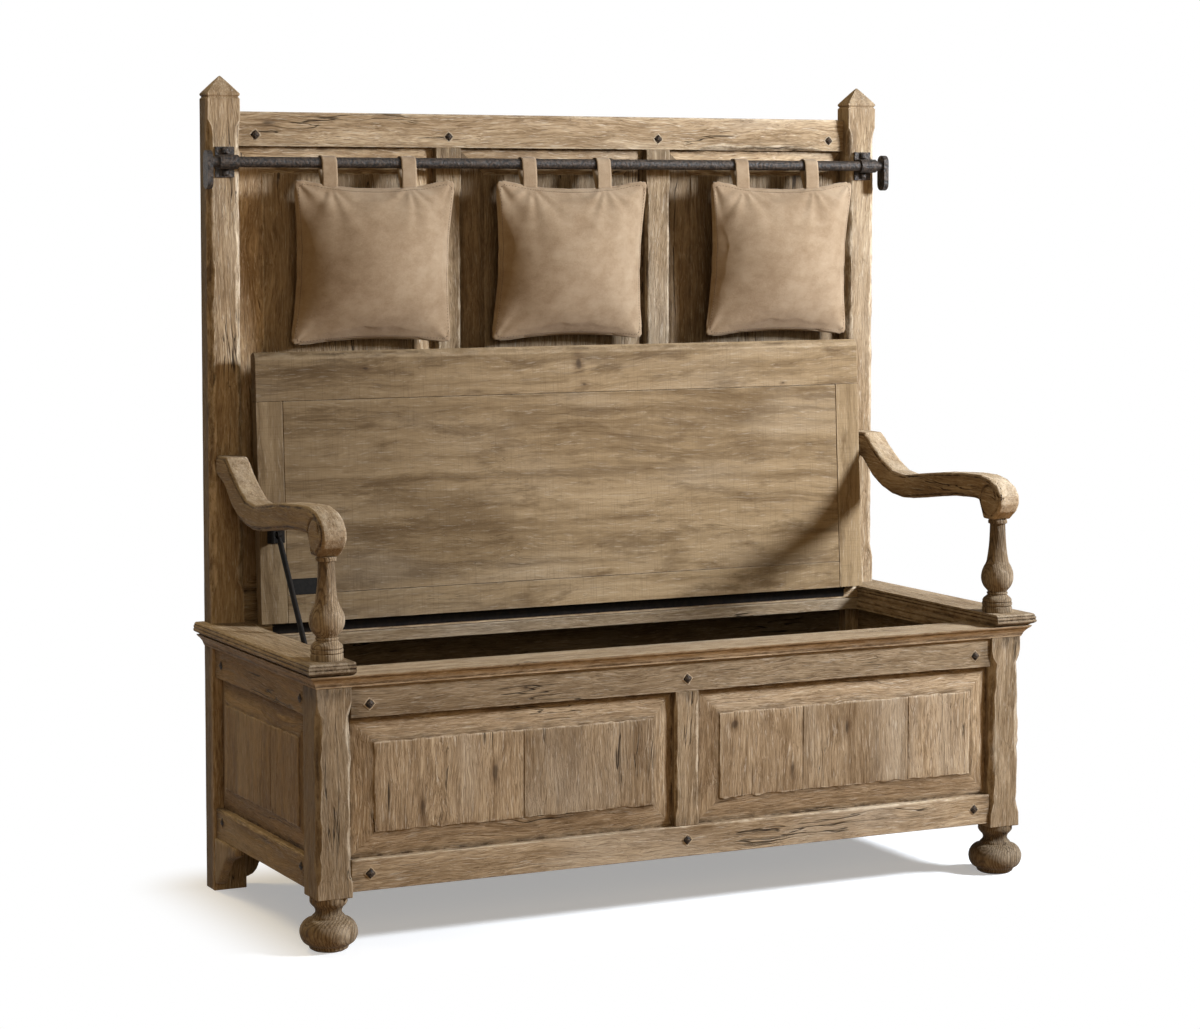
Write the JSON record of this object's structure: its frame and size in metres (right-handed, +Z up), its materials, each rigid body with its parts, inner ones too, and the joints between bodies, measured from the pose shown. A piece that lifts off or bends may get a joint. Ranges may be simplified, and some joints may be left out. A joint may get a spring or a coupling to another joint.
{
  "type": "settle bench",
  "caption": "High-backed oak storage settle on bun feet: hinged seat lid on a telescopic stay, scroll arms, panelled back, and suede cushions hung from an iron rod.",
  "frame": {"origin": "centre of the footprint at floor level", "axes": "+Z up; +Y towards the panelled back, so the sitter faces -Y; +X to the right for someone facing the front of the bench"},
  "size_m": [1.414, 0.574, 1.4495],
  "materials": {
    "oak": "weathered, limed",
    "panel_oak": "weathered, limed",
    "lid_oak": "smoothed, limed",
    "iron": "hammered, dark",
    "steel": "dark satin",
    "suede": "napped suede"
  },
  "bodies": {
    "chest": {"back_post_left": "oak", "back_post_right": "oak", "front_post_left": "oak", "front_post_right": "oak", "bun_foot_left": "oak", "bun_foot_right": "oak", "side_bracket_left": "oak", "side_bracket_right": "oak", "back_bracket_left": "oak", "back_bracket_right": "oak", "front_top_rail": "oak", "front_bottom_rail": "oak", "front_muntin": "oak", "front_panel_left": "panel_oak", "front_panel_right": "panel_oak", "side_top_rail_left": "oak", "side_top_rail_right": "oak", "side_bottom_rail_left": "oak", "side_bottom_rail_right": "oak", "side_panel_left": "panel_oak", "side_panel_right": "panel_oak", "chest_back_board": "oak", "chest_floor": "panel_oak", "sill_front": "oak", "sill_side_left": "oak", "sill_side_right": "oak", "sill_back": "oak", "seat_board_left": "oak", "seat_board_right": "oak", "seat_back_strip": "oak", "back_top_rail": "oak", "back_seat_rail": "oak", "back_muntin_left": "oak", "back_muntin_right": "oak", "back_panel_left": "panel_oak", "back_panel_right": "panel_oak", "back_panel_center": "panel_oak", "arm_left": "oak", "arm_right": "oak", "arm_baluster_left": "oak", "arm_baluster_right": "oak", "hinge_fixed_leaf": "steel", "hinge_pin": "steel", "stay_floor_bracket": "steel", "hanging_rod": "iron", "rod_bracket_left": "iron", "rod_bracket_right": "iron", "rod_finial_left": "iron", "rod_finial_right": "iron"},
    "lid": {"lid_frame": "lid_oak", "lid_field": "lid_oak", "hinge_moving_leaf": "steel", "stay_lid_bracket": "steel"},
    "stay_tube": {"stay_tube": "steel"},
    "stay_rod": {"stay_rod": "steel"},
    "cushion_left": {"cushion_left": "suede"},
    "cushion_center": {"cushion_center": "suede"},
    "cushion_right": {"cushion_right": "suede"}
  },
  "joints": [
    {"name": "lid_hinge", "type": "hinge", "parent": "chest", "child": "lid", "pos_m": [0, 0.195, 0.48], "axis": [1, 0, 0], "range_deg": [0, 93.13]},
    {"name": "stay_turn", "type": "hinge", "parent": "lid", "child": "stay_tube", "pos_m": [-0.588, 0.16809, 0.64171], "axis": [1, 0, 0], "range_deg": [-94.3, 0]},
    {"name": "stay_slide", "type": "slide", "parent": "stay_tube", "child": "stay_rod", "axis": [0, 0.5783, 0.8158], "range_m": [0, 0.2385]},
    {"name": "cushion_left_swing", "type": "hinge", "parent": "chest", "child": "cushion_left", "pos_m": [0, 0.225, 1.2975], "axis": [-1, 0, 0], "range_deg": [0, 60]},
    {"name": "cushion_center_swing", "type": "hinge", "parent": "chest", "child": "cushion_center", "pos_m": [0, 0.225, 1.2975], "axis": [-1, 0, 0], "range_deg": [0, 60]},
    {"name": "cushion_right_swing", "type": "hinge", "parent": "chest", "child": "cushion_right", "pos_m": [0, 0.225, 1.2975], "axis": [-1, 0, 0], "range_deg": [0, 60]}
  ],
  "couplings": [
    {"joint": "stay_turn", "follows": "lid_hinge", "ratio": -1.0113},
    {"joint": "stay_slide", "follows": "lid_hinge", "m_per_rad": 0.1464}
  ]
}
